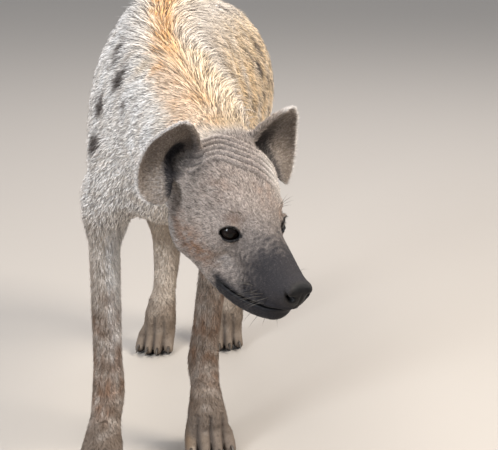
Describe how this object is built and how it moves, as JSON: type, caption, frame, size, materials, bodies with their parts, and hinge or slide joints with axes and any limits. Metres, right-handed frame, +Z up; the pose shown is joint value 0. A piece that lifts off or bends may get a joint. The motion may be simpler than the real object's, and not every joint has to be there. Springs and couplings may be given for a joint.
{
  "type": "spotted hyena",
  "caption": "Life-size standing spotted hyena with lowered, turned head, rounded ears, sloping back and bushy tail tip, for display as a still model.",
  "frame": {"origin": "on the floor, under the middle of the bounding box", "axes": "+Z up, the animal stands facing -Y, its left side is +X"},
  "size_m": [0.4091, 1.3207, 0.8352],
  "materials": {
    "coat": "shaggy short fur, pale grey-buff with grey-brown spots",
    "paw": "short dark grey-brown fur over pads",
    "face": "very short grizzled grey-brown fur, dark bare muzzle",
    "claw": "dark blunt horn",
    "eye": "wet, very dark brown"
  },
  "bodies": {
    "root": {"chest": "coat", "hindquarters": "coat", "foreleg_right": "coat", "foreleg_left": "coat", "thigh_right": "coat", "shank_right": "coat", "thigh_left": "coat", "shank_left": "coat", "claw_front_right_1": "claw", "claw_front_right_2": "claw", "claw_front_right_3": "claw", "claw_front_right_4": "claw", "paw_front_right": "paw", "claw_front_left_1": "claw", "claw_front_left_2": "claw", "claw_front_left_3": "claw", "claw_front_left_4": "claw", "paw_front_left": "paw", "claw_hind_right_1": "claw", "claw_hind_right_2": "claw", "claw_hind_right_3": "claw", "claw_hind_right_4": "claw", "paw_hind_right": "paw", "claw_hind_left_1": "claw", "claw_hind_left_2": "claw", "claw_hind_left_3": "claw", "claw_hind_left_4": "claw", "paw_hind_left": "paw", "tail": "coat", "lower_jaw": "face", "head": "face", "eye_right": "eye", "eye_left": "eye", "ear_right": "face", "ear_left": "face", "neck": "coat"}
  },
  "joints": []
}
